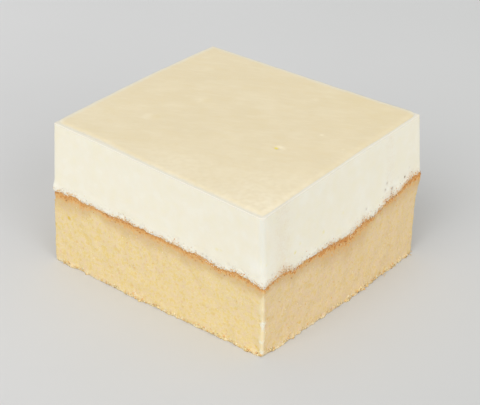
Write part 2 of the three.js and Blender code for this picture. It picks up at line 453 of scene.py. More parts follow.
# Where the skin browned more or less round the cut, as x, y, reach and extra strength
BROWNING = [
    (-30, -31, 7, 0.3), (-20, -31, 2.5, -0.5), (-10, -31.3, 2, 0.25), (-3, -31, 4, 0.35),
    (2, -31, 8, -0.15), (12, -31.5, 4, 0.2), (18, -31.5, 4, -0.2), (23, -31.5, 2, -0.2),
    (28, -31.5, 3, 0.1), (34.5, -28.5, 3.5, -0.45), (34.3, -18, 5, -0.15), (34, -5, 4, 0.6),
    (34, 2, 3, 0.8), (34, 7.5, 2.5, 0.8), (34, 14.5, 3, -0.5), (33.8, 22.5, 2, -0.3), (33.5, 28, 7, 0.25),
    (-18, 30, 8, -0.3), (-33.5, -8, 7, -0.25),
]
SEAM_LIP = [(33.6, 33.2, 3.0, 0.3)]
SEAM_LIP_HEIGHT = 22

# Cream wiped down the near edge, its white patches as height, reach and amount, and the
# lengths round that edge, with one for all that is far off
WIPED_HALF_WIDTH = 0.75
WIPED_TO_HEIGHT = 19
FRONT_LENGTH, RIGHT_LENGTH, ROUND_CORNER, FAR_ROUND = 67, 63, 0.8, 30.0
WIPED_TONE = srgb(238, 223, 184)
WIPED_WHITE = srgb(241, 235, 215)
WIPED_PATCHES = [(8.8, 1.5, 0.9), (4.2, 0.8, 0.6), (1.3, 0.9, 0.8), (13.5, 1.2, 0.3)]

# Yellower spots in the crumb, as x, y, z, reach and amount
GOLD_SPOTS = [
    (-29.4, -30.8, 14.1, 0.8, 1.7), (-30, -30.8, 12.3, 0.7, 1.2), (-34.8, -29.7, 10.3, 0.9, 1.7),
    (-26, -30.8, 2, 0.8, 0.5), (31.8, -31, 2.3, 1, 0.7), (33.9, -16.7, 3.1, 0.7, 0.8),
    (34, -27, 2.4, 0.9, 0.5), (33.5, 28.4, 15, 0.9, 0.4), (33.5, 27.7, 12.5, 0.8, 0.6),
]
CRUMB_BRIGHT = srgb(228, 196, 92)


def sponge_push(x, y, z):
    crumb = CRUMB_DEPTH * noise(x, y, z, 3, CRUMB_SIZE)
    near_foot = np.clip(1 - z / FOOT_TEAR_HEIGHT, 0, None)
    fray = FOOT_FRAY * noise(x, y, z, 8, FOOT_FRAY_SIZE)
    tear = near_foot * np.maximum(FOOT_TEAR * noise(x, y, 0, 7, CRUMB_SIZE) + fray, -0.1)
    lip = spots_sum(SEAM_LIP, x, y) * bell((z - SEAM_LIP_HEIGHT) ** 2, 2.0)
    return crumb + tear + lip - SPONGE_SETBACK * z / sponge_top(x, y)


def across_near_edge():
    """How far round from the near edge each place lies, negative on the front."""
    on_front = (place_along - 1) * FRONT_LENGTH - ROUND_CORNER / 2
    on_corner = place_turn * ROUND_CORNER - ROUND_CORNER / 2
    on_right = place_along * RIGHT_LENGTH + ROUND_CORNER / 2
    front = np.where(place_turn < 0, on_front, on_corner)
    right = np.where(place_turn < 0, on_right, FAR_ROUND)
    return np.where(place_side == 0, front, np.where(place_side == 1, right, FAR_ROUND))


def wiped(x, y, z):
    """1 where the knife wiped cream into the crumb, down the near edge."""
    wander = 0.25 * noise(z, 0, 0, 61, 2.3)
    uneven = 1 + 0.5 * noise(z, 0, 0, 62, 1.2) + 0.3 * noise(z, 0, 0, 63, 0.5)
    share = 1.5 - np.abs(across_near_edge() - wander) / (WIPED_HALF_WIDTH * uneven)
    return np.clip(share, 0, 1) * np.clip((WIPED_TO_HEIGHT - z) / 2, 0, 1)


def cream_patch(x, y, z):
    """1 where the knife left enough cream on the near edge to show white."""
    return wiped(x, y, z) * np.clip(spots_sum(WIPED_PATCHES, z), 0, 1)


def skin_depth(x, y, z):
    return sponge_top(x, y) - z


def browning(x, y, z):
    return 1 + spots_sum(BROWNING, x, y)


def soaked(x, y, z):
    """A share for each place, changing from side to side round the corners: it roughens and darkens the
    browned band, and its tint is painted shade on the crumb.
    """
    share = np.clip(place_turn, 0, 1)
    return SOAK_AND_SHADE_SIDES[place_side] * (1 - share) + SOAK_AND_SHADE_SIDES[(place_side + 1) % 4] * share


side_rings = [
    layer_ring(row / SPONGE_ROWS, level(0), sponge_top, sponge_push) for row in range(SPONGE_ROWS + 1)
]
under_rings = close_face(side_rings[0], level(0), (0.3, 0.8, 0.97, 0.993))
over_rings = close_face(side_rings[-1], sponge_top, (0.993, 0.97, 0.8, 0.3))
sponge = put_in_scene(rings_to_mesh(
    "sponge_crumb", under_rings + side_rings + over_rings,
    skin_depth=skin_depth, browning=browning, soaked=soaked, wiped=wiped, cream_patch=cream_patch,
    gold_spot=partial(spots_sum, GOLD_SPOTS),
))

# The crumb is torn on the cut sides alone, not on the foot or the top
row = np.arange(SPONGE_ROWS + 1 + len(under_rings) + len(over_rings)) - len(under_rings)
torn_rows = np.clip(np.minimum(row, SPONGE_ROWS - row) / 2, 0, 1)
keep_on(sponge.data, "cut_side", np.pad(np.repeat(torn_rows, len(place_side)), 1))


def tear_crumb(tree, where, given):
    """Lumps and two sizes of pore in the cut crumb, half filled where cream was wiped on."""
    lumps = add_sway(tree, where, 1.4, 1)
    small, _ = add_pits(tree, where, 0.85, 0.1, 0.5)
    wide, tint = add_pits(tree, where, 2.1, 0.08, 0.34)
    wide = add_product(tree, wide, add_ramp(tree, tint, 0.5, 0.6))
    hollow = add_math(tree, "MAXIMUM", add_product(tree, small, 0.55), wide)
    raised = add_product(tree, lumps, given["Lump Depth"])
    sunk = add_product(tree, hollow, given["Pore Depth"])
    bare = add_math(tree, "SUBTRACT", 1.0, add_product(tree, "wiped", 0.8))
    torn = add_product(tree, add_math(tree, "SUBTRACT", raised, sunk), bare)
    laid_on = add_math(tree, "ADD", "wiped", "cream_patch")
    height = add_scaled(tree, laid_on, given["Wiped Cream"], torn)
    return push_out(tree, given, add_product(tree, height, "cut_side"), hollow)


def add_crumb_grains(tree, where, size):
    """Close-set grains: how far each place is from its grain's middle, and three chance values
    for each grain."""
    bend = add_node(tree, "ShaderNodeTexNoise", Vector=where, Scale=1 / (0.8 * size * MM), Detail=2.0)
    bent = add_vector_math(tree, "MULTIPLY_ADD", bend.outputs["Color"], (1.6 * size * MM,) * 3, where)
    grains = add_node(
        tree, "ShaderNodeTexVoronoi", {"feature": "SMOOTH_F1"},
        Vector=bent, Scale=1 / (size * MM), Smoothness=0.4,
    )
    chances = add_node(tree, "ShaderNodeSeparateColor", Color=grains.outputs["Color"]).outputs
    return grains.outputs["Distance"], chances


sponge_material, tree, shader, where = new_material("soaked sponge", 0.82, 0.3, 0.12, 1.2 * MM, (1, 0.7, 0.4))
grain = add_grain(tree, where, 0.34, 3.2)
from_middle, chances = add_crumb_grains(tree, where, 0.33)
mottle = add_noise(tree, where, 1.2, 2, 0.6)
toasted, tint = add_pits(tree, where, 1.9, 0.1, 0.3)
toasted = add_product(tree, toasted, add_ramp(tree, tint, 0.45, 0.65, 0, 0.3))
spot = add_scaled(tree, add_math(tree, "SUBTRACT", mottle, 0.5), 1.5, "gold_spot")
pores = add_ramp(tree, add_noise(tree, where, 0.45, 2, 0.6), 0.4, 0.3)
scorched = add_math(tree, "SUBTRACT", chances[2], 0.5)
ragged = add_sway(tree, where, 1.0, 3, 0.65)
above_foot = add_math(tree, "DIVIDE", add_node(tree, "ShaderNodeSeparateXYZ", Vector=where).outputs["Z"], MM)
above_foot = add_scaled(tree, ragged, 1.6, above_foot)
above_foot = add_scaled(tree, scorched, 2.0, above_foot)
foot_tone = add_mix(tree, add_ramp(tree, mottle, 0.5, 0.62), CRUMB_PALE, CRUMB_ORANGE)
waviness = add_scaled(tree, "soaked", 7.0, 1.5)
depth = add_scaled(tree, ragged, waviness, "skin_depth")
depth = add_math(tree, "DIVIDE", depth, "browning")
grained = add_scaled(tree, scorched, add_scaled(tree, "soaked", 2.5, 1.3), depth)
darkest = add_scaled(tree, "soaked", 1.4, 0.58)
broken = add_sway(tree, where, 0.5, 3, 0.6)
thinly = add_scaled(tree, broken, 0.9, "wiped")
thickly = add_scaled(tree, broken, 0.9, "cream_patch")
paint(
    tree, shader, CRUMB_YELLOW,
    (CRUMB_PALE, grain["Pale"], 0.55),
    (CRUMB_GOLD, grain["Deep"], 0.25),
    (CRUMB_GOLD, grain["Patch"], 0.15),
    (CRUMB_WARM, chances[0], 0.55, 0.8, 0.35),
    (CRUMB_GOLD, chances[0], 0.4, 0.2, 0.25),
    (CRUMB_GOLD, mottle, 0.5, 0.68, 0.65),
    (CRUMB_WARM, mottle, 0.5, 0.32, 0.65),
    (CRUMB_ORANGE, toasted, 1),
    (CRUMB_BRIGHT, spot, 0.35, 1.1, 1),
    (PORE_SHADE, pores, 0.3),
    (PORE_SHADE, "hollow", 0.2),
    # Painted shade: the crumb is darker and pinker side by side, most on the right side
    (CRUMB_SIDE_SHADE, "soaked", 1),
    (foot_tone, above_foot, 0.9, -0.3, 0.55),
    (SKIN_HALO, depth, 5.4, 1.8, 0.55),
    (SKIN_BROWN, grained, 2.2, 1.1, 0.95),
    (SKIN_DARK, grained, 1.2, 0.4, darkest),
    (CRUMB_PALE, grained, 0.1, -0.5, 0.5),
    (WIPED_TONE, thinly, 0.15, 1.0, 0.75),
    (WIPED_WHITE, thickly, 0.2, 0.75, 0.9),
)
crumbly = add_math(tree, "SUBTRACT", grain["Height"], add_product(tree, from_middle, 0.35))
add_bump(tree, shader, add_scaled(tree, pores, -0.4, crumbly), 0.06)

depths = {"Lump Depth": 0.08 * MM, "Pore Depth": 0.15 * MM, "Wiped Cream": 0.06 * MM}
crumb_tree = shape_tree("torn crumb", dict.fromkeys(depths, "Float"), tear_crumb)
apply_tree(sponge, crumb_tree, {"Material": sponge_material, **depths})
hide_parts("sponge")
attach(sponge, "root")

# The crumbs on the sponge's cut sides: loose bits of it that the knife pulled out and left
# sticking to the soaked crumb, with darker flecks of the baked skin along the top and
# coarser crumbs pressed out round the foot.

# Each kind as bits per square millimetre and the smallest and largest size
CUT_CRUMBS = (0.7, 0.16, 0.42)
SKIN_FLECKS = (2.6, 0.14, 0.38)
FOOT_CRUMBS = (6.0, 0.3, 0.85)
FOOT_CLUSTERS = [(34, 15, 12, 0.4), (-5, -31, 5, 0.3)]
BIT_UNEVENNESS = 2.2


def add_chance(tree, kind, low, high, seed):
    """A value for each bit, drawn between two limits."""
    made = add_node(tree, "FunctionNodeRandomValue", {"data_type": kind}, Min=low, Max=high, Seed=seed)
    return next(socket for socket in made.outputs if socket.enabled)


def scatter_bits(tree, where, given):
    """Uneven lumps of chance size, girth and turn, none of them below the table's top."""
    spots = add_node(
        tree, "GeometryNodeDistributePointsOnFaces", Mesh=given["Geometry"],
        Density=add_product(tree, "share", given["Bits per Area"]), Seed=given["Seed"],
    )
    toned = keep_value(tree, spots.outputs[0], "tone", add_chance(tree, "FLOAT", 0.0, 1.0, given["Seed"]))
    size = add_chance(tree, "FLOAT", given["Smallest"], given["Largest"], 5)
    girth = add_chance(tree, "FLOAT_VECTOR", (0.6, 0.6, 0.4), (1.3, 1.2, 0.9), 6)
    turn = add_chance(tree, "FLOAT_VECTOR", (0, 0, 0), (6.28, 6.28, 6.28), 7)
    block = add_node(tree, "GeometryNodeMeshCube", Size=(1, 1, 1))
    bit = add_node(tree, "GeometryNodeSubdivisionSurface", Mesh=block.outputs[0], Level=1)
    bits = add_node(
        tree, "GeometryNodeInstanceOnPoints", Points=toned, Instance=bit.outputs[0],
        Rotation=turn, Scale=add_vector_math(tree, "SCALE", girth, size),
    )
    real = add_node(tree, "GeometryNodeRealizeInstances", Geometry=bits.outputs[0])
    wobble = add_node(tree, "ShaderNodeTexNoise", Vector=where, Scale=1 / (0.2 * MM), Detail=1.0)
    shift = add_vector_math(tree, "SUBTRACT", wobble.outputs["Color"], (0.5, 0.5, 0.42))
    moved = add_vector_math(tree, "ADD", where, add_vector_math(tree, "SCALE", shift, given["Unevenness"]))
    above = add_vector_math(tree, "MAXIMUM", moved, (-1, -1, 0))
    return add_node(tree, "GeometryNodeSetPosition", Geometry=real.outputs[0], Position=above).outputs[0]


bits_tree = shape_tree("loose bits", {
    "Bits per Area": "Float", "Smallest": "Float", "Largest": "Float", "Unevenness": "Float", "Seed": "Int",
}, scatter_bits)


def give_share(mesh, name, share_at):
    """Keeps a share from 0 to 1 on each point of a mesh, found from where the point lies."""
    points = np.empty(len(mesh.vertices) * 3, np.float32)
    mesh.vertices.foreach_get("co", points)
    x, y, z = points.reshape(-1, 3).T.astype(float) / MM
    keep_on(mesh, name, np.clip(share_at(x, y, z), 0, 1))


def scatter_on(name, mesh, share_at, bits, seed, material):
    """A piece made of bits strewn on a mesh, as densely as its share says at each point."""
    bed = put_in_scene(mesh.copy())
    bed.name = name
    give_share(bed.data, "share", share_at)
    per_mm2, smallest, largest = bits
    apply_tree(bed, bits_tree, {
        "Bits per Area": per_mm2 / MM**2, "Smallest": smallest * MM, "Largest": largest * MM,
        "Unevenness": BIT_UNEVENNESS * smallest * MM, "Seed": seed, "Material": material,
    })
    return bed


def open_crumb_share(x, y, z):
    depth = skin_depth(x, y, z)
    clusters = 0.15 + 0.5 * noise(x, y, z, 51, 5)
    return np.where((z > 1) & (depth > 1.6), clusters, 0)


def foot_share(x, y, z):
    clusters = 0.5 + 0.6 * noise(x, y, 0, 73, 1.6) + spots_sum(FOOT_CLUSTERS, x, y)
    return np.where(z > 0.02, clusters * np.clip(1.4 - z / 0.9, 0, 1), 0)


def skin_share(x, y, z):
    depth = skin_depth(x, y, z)
    return np.where(depth > 0.05, bell((depth - 0.8) ** 2, 0.9) * browning(x, y, z), 0)


crumb_material, tree, shader, where = new_material(
    "loose sponge crumb", 0.85, 0.2, 0.3, 0.2 * MM, (1, 0.9, 0.8)
)
grain = add_grain(tree, where, 0.3, 1.5)
paint(
    tree, shader, CRUMB_YELLOW,
    (CRUMB_PALE, "tone", 0.6, 0.95, 0.8),
    (CRUMB_ORANGE, "tone", 0.5, 0.15, 0.8),
    (CRUMB_WARM, grain["Deep"], 0.4),
)
add_bump(tree, shader, grain["Height"], 0.1)

fleck_material, tree, shader, where = new_material("baked skin fleck", 0.8, 0.25)
grain = add_grain(tree, where, 0.25, 1.2)
paint(
    tree, shader, SKIN_DARK,
    (SKIN_BROWN, "tone", 1),
    (SKIN_BURNT, "tone", 0.8, 0.9, 1),
    (SKIN_HALO, grain["Pale"], 0.7),
)
add_bump(tree, shader, grain["Height"], 0.05)

crumb_bits = scatter_on("cut_crumbs", sponge.data, open_crumb_share, CUT_CRUMBS, 3, crumb_material)
skin_flecks = scatter_on("skin_flecks", sponge.data, skin_share, SKIN_FLECKS, 4, fleck_material)
foot_crumbs = scatter_on("foot_crumbs", sponge.data, foot_share, FOOT_CRUMBS, 14, crumb_material)
for bits in (crumb_bits, skin_flecks, foot_crumbs):
    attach(bits, "root")

# The cream: milk cream whipped and set with gelatine, poured onto the sponge and chilled.
# The hot knife left its sides smooth and its upper edge rounded, but at the foot it dragged
# the foam open into pits and ragged tips along the browned skin.
CREAM_TOP = 39.4
CREAM_FLARE = 0.08
CREAM_FOAM = 0.2
FOAM_SIZE = 2.1
FOAM_SHARE = 0.2
KNIFE_DRAG = 0.012
DRAG_WIDTH, DRAG_HEIGHT = 6, 18
DRAGGED_CORNER = [(-34.4, -30.2, 1.8, 0.4)]
DRAGGED_CORNER_HEIGHT = 21.2
CREAM_EDGE_RADIUS = 0.18
CREAM_SINK = 0.1
CREAM_TIPS = 0.25
TIP_SIZE = 0.65
FOAM_HEIGHT = 3.0

# Shares of the cream's height in its torn foot, its plain side and its rounded edge, and the
# rows of points in each
FOAM_BAND, PLAIN_BAND, EDGE_BAND = 0.22, 0.74, 0.04
FOAM_ROWS, PLAIN_ROWS, EDGE_ROWS = 18, 38, 8

CREAM_IVORY = srgb(245, 239, 219)
CREAM_WHITE = srgb(249, 246, 233)
CREAM_YELLOW = srgb(240, 228, 150)
PIT_SHADE = srgb(190, 177, 160)
HOLE_SHADE = srgb(140, 124, 108)
RIM_SHADE_TONE = srgb(234, 228, 211)
EDGE_SHADE_TONE = srgb(232, 230, 217)

# Whiter foam by the near edge, and the yellow specks and dark holes that show one by one,
# as x, y, z, reach and amount
WHITE_FOAM = [(32.4, -32.3, 25.2, 2.9, 1.1), (34.3, 20, 24.5, 4.0, 0.6), (34.3, 8, 23.5, 4.0, 0.3)]
YELLOW_SPECKS = [
    (-26.2, -31, 25.8, 0.5, 0.8), (-12.9, -31.5, 27.3, 0.4, 1), (-15.6, -31.5, 24.6, 0.5, 0.4),
    (-11.1, -31.5, 24.6, 0.7, 0.4), (1.1, -32, 28.6, 0.4, 0.5), (-0.8, -32, 25, 0.5, 0.5),
    (11.8, -32, 24.4, 0.4, 0.4), (18.6, -32, 24.9, 0.4, 0.5), (20.2, -32, 25.2, 0.5, 0.8),
    (21.7, -32, 25.5, 0.5, 0.6), (34, -32.6, 27.3, 0.5, 1.3), (29.9, -32.3, 24.7, 0.6, 0.4),
    (34.5, -16.9, 35.6, 0.8, 0.25), (34.3, -0.6, 26.7, 0.6, 0.4), (34.3, -8.6, 24.8, 0.6, 0.6),
    (34.5, -18, 26.1, 0.5, 0.5), (34.5, -19.9, 24.4, 0.5, 0.8), (34.6, -22.6, 24.6, 0.4, 0.4),
    (34.6, -24.1, 24.5, 0.4, 0.5), (34.7, -30.9, 26.1, 0.5, 0.4),
]
DARK_HOLES = [
    (8, -31.8, 23.2, 0.4, 0.6), (-26.5, -31, 22.8, 0.5, 0.4), (-21, -31.2, 24.5, 0.5, 0.3),
    (23.8, -32, 22.4, 0.5, 0.4), (32.5, -32.3, 22.3, 0.6, 0.3), (33.7, 26.2, 24.7, 0.4, 0.8),
    (33.7, 28.2, 26.6, 0.4, 0.4), (34, 23.1, 25.9, 0.4, 0.4), (34.1, 18.3, 26.3, 0.5, 1),
    (34.1, 20.6, 23.9, 0.5, 1), (34.1, 17.5, 24.8, 0.45, 0.9), (34.2, 9.3, 23.1, 0.45, 0.5),
    (34.6, -28.5, 22.5, 0.45, 0.4),
]

# Where crumbs were dragged up into the foam, as x, y, reach and amount
DRAGGED = [
    (-30, -31, 5, 0.15), (-8, -31.5, 3, 0.1), (7.5, -31.5, 1.5, 0.5), (26, -31.7, 3, 0.1),
    (34.3, -25, 5, 1.5), (34, -6, 5, 0.25), (33.9, 7, 5, 0.7), (33.9, 19.5, 3.5, 1.3), (33.5, 29, 5, 0.7),
    (-20, 30, 6, 0.5), (-33.5, 5, 6, 0.5),
]


def cream_foot(x, y):
    tips = CREAM_TIPS * noise(x / TIP_SIZE, y / TIP_SIZE, 3, 31) * (0.8 + 0.5 * noise(x / 4, y / 4, 1, 33))
    return sponge_top(x, y) - CREAM_SINK + tips * (1 + 0.3 * spots_sum(RAGGED_SEAM, x, y))


def cream_push(x, y, z):
    foot = sponge_top(x, y)
    share = (z - foot) / (CREAM_TOP - foot)
    near_foot = np.clip(1 - share / FOAM_SHARE, 0, 1)
    foam = CREAM_FLARE + CREAM_FOAM * noise(x, y, z, 17, FOAM_SIZE)
    drag = KNIFE_DRAG * noise(x / DRAG_WIDTH, y / DRAG_WIDTH, z / DRAG_HEIGHT, 19)
    corner = spots_sum(DRAGGED_CORNER, x, y) * bell((z - DRAGGED_CORNER_HEIGHT) ** 2, 1.5)
    into_edge = np.clip(1 - (CREAM_TOP - z) / CREAM_EDGE_RADIUS, 0, 1)
    rounding = CREAM_EDGE_RADIUS * (1 - np.sqrt(1 - into_edge**2))
    return near_foot * foam + drag + corner - rounding


def foam(x, y, z):
    return np.clip(1 - (z - sponge_top(x, y)) / FOAM_HEIGHT, 0, 1)


def worn_edge(x, y, z):
    """1 on the rounded upright edges, which are painted a greyer shade that tempers the light they catch."""
    return np.where(place_turn < 0, 0, np.sin(np.pi * np.clip(place_turn, 0, 1)))


def dragged_up(x, y, z):
    return 0.35 + spots_sum(DRAGGED, x, y)


def upper_rim(x, y, z):
    """1 on the upper edge, which is painted a greyer shade that tempers the light the rounded rim catches,
    and less at the front.
    """
    return np.clip(1.5 - (CREAM_TOP - z) / 0.3, 0, 1) * np.where(place_side == 0, 0.8, 1)


foam_rows = [row / FOAM_ROWS * FOAM_BAND for row in range(FOAM_ROWS)]
plain_rows = [FOAM_BAND + row / PLAIN_ROWS * PLAIN_BAND for row in range(PLAIN_ROWS)]
edge_rows = [1 - EDGE_BAND * (1 - math.sin(row / EDGE_ROWS * math.pi / 2)) for row in range(EDGE_ROWS + 1)]
side_rings = [
    layer_ring(share, cream_foot, level(CREAM_TOP), cream_push)
    for share in foam_rows + plain_rows + edge_rows
]
under_rings = close_face(side_rings[0], cream_foot, (0.3, 0.8, 0.97, 0.99))
over_rings = close_face(side_rings[-1], level(CREAM_TOP), (0.985, 0.96, 0.8, 0.3))
cream = put_in_scene(rings_to_mesh(
    "cream_layer", under_rings + side_rings + over_rings,
    foam=foam, worn_edge=worn_edge, dragged_up=dragged_up, upper_rim=upper_rim,
    white_foam=partial(spots_sum, WHITE_FOAM), yellow_speck=partial(spots_sum, YELLOW_SPECKS),
    dark_hole=partial(spots_sum, DARK_HOLES),
))


def tear_foam(tree, where, given):
    """Lumps and pits in the foam at the cream's foot, and the single dark holes."""
    patchy = add_ramp(tree, add_noise(tree, where, 6.5, 1), 0.38, 0.6, 0.3, 1)
    torn = add_product(tree, add_math(tree, "POWER", "foam", 1.3), patchy)
    lumps = add_sway(tree, where, 0.7, 3)
    small, _ = add_pits(tree, where, 0.8, 0.08, 0.42)
    hollow = add_math(tree, "MAXIMUM", add_product(tree, small, torn), "dark_hole")
    raised = add_product(tree, add_product(tree, lumps, given["Foam Depth"]), torn)
    height = add_math(tree, "SUBTRACT", raised, add_product(tree, hollow, given["Pit Depth"]))
    return push_out(tree, given, height, hollow)


cream_material, tree, shader, where = new_material(
    "set milk cream", 0.48, 0.35, 0.25, 1.5 * MM, (1, 0.9, 0.75)
)
grain = add_grain(tree, where, 0.6, 5)
tinge = add_noise(tree, where, 3.5, 2)
# Painted shade on the rounded upright edges, less where the foam is whiter
foamed = add_product(tree, "white_foam", -0.6)
edge_share = add_scaled(tree, "worn_edge", foamed, "worn_edge")
broken = add_sway(tree, where, 0.5, 2, 0.6)
speck = add_scaled(tree, broken, 0.8, "yellow_speck")
hole = add_scaled(tree, broken, 0.8, "dark_hole")
bubbles, _ = add_pits(tree, where, 0.5, 0.1, 0.4)
bubbles = add_product(tree, bubbles, add_ramp(tree, "foam", 0.4, 0.9, 0, 0.6))
bubbles = add_product(tree, bubbles, "dragged_up")
crumbled = add_node(tree, "ShaderNodeTexVoronoi", Vector=where, Scale=1 / (0.4 * MM)).outputs["Color"]
above = add_product(tree, add_math(tree, "SUBTRACT", 1.0, "foam"), FOAM_HEIGHT)
above = add_scaled(tree, add_math(tree, "SUBTRACT", crumbled, 0.5), 1.7, above)
above = add_math(tree, "DIVIDE", above, "dragged_up")
paint(
    tree, shader, CREAM_IVORY,
    (CREAM_WHITE, grain["Patch"], 0.2),
    (CREAM_YELLOW, tinge, 0.5, 0.68, 0.06),
    (CREAM_WHITE, tinge, 0.5, 0.32, 0.3),
    (CREAM_WHITE, "foam", 0.2, 1.0, 0.6),
    (CREAM_WHITE, "white_foam", 0.9),
    # Painted shade on the rounded upright edges
    (EDGE_SHADE_TONE, edge_share, 1),
    # Painted shade on the upper rim
    (RIM_SHADE_TONE, "upper_rim", 1),
    (CREAM_YELLOW, speck, 0.1, 0.9, 1),
    (PIT_SHADE, "hollow", 0.7),
    (PIT_SHADE, bubbles, 1),
    (HOLE_SHADE, hole, 0.2, 0.9, 1),
    (SKIN_HALO, above, 2.4, 0.4, 0.22),
    (SKIN_BROWN, above, 0.7, 0.0, 0.75),
)
add_bump(tree, shader, grain["Height"], 0.03)

depths = {"Foam Depth": 0.5 * MM, "Pit Depth": 0.35 * MM}
foam_tree = shape_tree("torn foam", dict.fromkeys(depths, "Float"), tear_foam)
apply_tree(cream, foam_tree, {"Material": cream_material, **depths})
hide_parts("cream")
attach(cream, "root")

# The bits along the seam: specks of browned sponge that the knife drew up into the torn foam,
# and dots of cream that it carried down over the skin and onto the crumb.
DRAGGED_CRUMBS = (4.5, 0.12, 0.32)
FOAM_BITS = (3.0, 0.16, 0.42)
CARRIED_CREAM = (2.6, 0.12, 0.34)
CARRIED_TO_EDGE = [(34.1, -31.2, 0.8, 0.8)]
CARRIED_TO_FOOT = [(34, 18, 2.5, 0.5), (-5, -31, 2.5, 0.4)]


def dragged_share(x, y, z):
    above = z - sponge_top(x, y)
    reached = bell(np.clip(above - 0.3, 0, None) ** 2, 1.3)
    return np.where(above > 0.1, (0.06 + spots_sum(DRAGGED, x, y)) * reached, 0)


def foam_bit_share(x, y, z):
    above = z - sponge_top(x, y)
    froth = 0.5 + 0.5 * noise(x, y, z, 57, 3)
    ragged = spots_sum(RAGGED_SEAM, x, y)
    return np.where(above > 0, froth * (1 + 0.3 * ragged) * bell(above**2, 1.1 + 0.4 * ragged), 0)


def carried_share(x, y, z):
    depth = skin_depth(x, y, z)
    edge = spots_sum(CARRIED_TO_EDGE, x, y) * spots_sum(WIPED_PATCHES, z)
    seam = 0.6 * bell(depth**2, 0.7) * (1 + noise(x, y, 0, 59, 2.5))
    foot = spots_sum(CARRIED_TO_FOOT, x, y) * bell(z**2, 1.8)
    return np.where(depth > 0.05, edge + seam + foot, 0)


dragged = scatter_on("dragged_crumbs", cream.data, dragged_share, DRAGGED_CRUMBS, 8, fleck_material)
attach(dragged, "root")

bit_material, tree, shader, where = new_material("cream bit", 0.6, 0.3, 0.2, 0.2 * MM, (1, 0.95, 0.9))
grain = add_grain(tree, where, 0.3, 2)
paint(
    tree, shader, CREAM_IVORY,
    (CREAM_WHITE, "tone", 1),
    (CREAM_YELLOW, grain["Deep"], 0.3),
)
add_bump(tree, shader, grain["Height"], 0.06)
foam_bits = scatter_on("foam_bits", cream.data, foam_bit_share, FOAM_BITS, 9, bit_material)
carried = scatter_on("carried_cream", sponge.data, carried_share, CARRIED_CREAM, 10, bit_material)
for bits in (foam_bits, carried):
    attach(bits, "root")

# The glaze: a thin skin of sweetened milk and egg yolk, poured over the set cream. It runs
# out just short of the cut, thins to nothing there, and has one burst bubble and faint marks.

# How far the glaze stops short of the front, right, back and left cuts, the extra along the
# front as x, reach and amount, and at bare corners as x, y, reach and amount
GLAZE_SETBACK = np.array([0.4, 0.35, 0.12, 0.12])
GLAZE_SHORTFALL = [(-20, 11, 0.6)]
GLAZE_BARE_CORNERS = [(-34.1, -29.7, 1.6, 0.35), (34.9, -33.1, 1.6, 0.4), (32.6, 32.8, 1.8, 0.5)]
GLAZE_WAVER = 0.1
GLAZE_RIPPLE = 0.06
GLAZE_RIPPLE_SIZE = 9

# How far in from each cut it thins, in its shape and in its colour
GLAZE_FEATHER = np.array([2.2, 2.2, 0.35, 0.35])
THIN_REACH = np.array([1.6, 0.9, 2.0, 2.0])
GLAZE_LIP_HEIGHT = CREAM_TOP - 0.07
GLAZE_BASE_HEIGHT = CREAM_TOP - 0.12
BUBBLE = (16.6, -4.3)
BUBBLE_REACH = 0.75
BUBBLE_DEPTH = 0.25
BUBBLE_RIM = 0.06
GLAZE_YELLOW = srgb(234, 218, 181)
GLAZE_PALE = srgb(248, 235, 204)
GLAZE_DEEP = srgb(231, 211, 158)
GLAZE_BUBBLE = srgb(243, 226, 110)
GLAZE_THIN = srgb(234, 228, 209)

# The faint streaks left by spreading it, and the number and size of its surface's cells
SPREAD_TURN = 0.48
SPREAD_STRETCH = 3.5
GLAZE_CELLS = 208
GLAZE_CELL = 0.32

# Paler marks in the glaze, with broad paler stretches towards the front, as x, y, reach and amount
GLAZE_PALE_MARKS = [
    (34, -32, 20, 0.75), (2, -27, 9, 0.4), (-30, -18, 15, 0.15), (17.3, -3.7, 0.9, 0.9),
    (20.7, 7.8, 0.45, 0.9), (29.6, -28.7, 0.6, 0.9), (29.2, 5.3, 0.35, 0.7), (-17.9, -12.4, 2, 0.4),
    (-14.1, 3, 1.7, 0.4), (5.8, -7.4, 1.8, 0.25), (-24, 18, 1.2, 0.3), (8, 22, 1, 0.3),
]
# Deeper marks, with a broad deeper stretch at the back, as x, y, reach and amount
GLAZE_DEEP_MARKS = [
    (16.3, -4.6, 0.55, 1.5), (-16.5, -11.2, 1.3, 0.4), (-12.6, 3.6, 1.2, 0.35), (20, 31, 12, 0.2),
]


def glaze_top(x, y):
    distance = (x - BUBBLE[0]) ** 2 + (y - BUBBLE[1]) ** 2
    ripple = GLAZE_RIPPLE * (noise(x, y, 0, 23, GLAZE_RIPPLE_SIZE) - 1)
    rim = BUBBLE_RIM * bell((np.sqrt(distance) - 1.2) ** 2, 0.35)
    return CAKE_HEIGHT + ripple - BUBBLE_DEPTH * bell(distance, BUBBLE_REACH) + rim


def glaze_rim(side):
    """One edge of the glaze, from corner to corner, set back from the cut."""
    along = CORNER_SHARE / 2 + np.linspace(0, 1, GLAZE_CELLS + 1) * (1 - CORNER_SHARE)
    edge = point_on_side(np.full(along.shape, side), along, np.full(along.shape, CAKE_HEIGHT))
    right, back = TOP_CORNERS[(side + 1) % 4] - TOP_CORNERS[side]
    inward = np.array([-back, right]) / np.linalg.norm([right, back])
    x, y = edge.T
    waver = GLAZE_WAVER * noise(x, y, 0, 41, 3)
    short = GLAZE_SETBACK[side] + waver + spots_sum(GLAZE_BARE_CORNERS, x, y)
    if side == 0:
        short = short + spots_sum(GLAZE_SHORTFALL, x)
    return edge + inward * short[:, None]


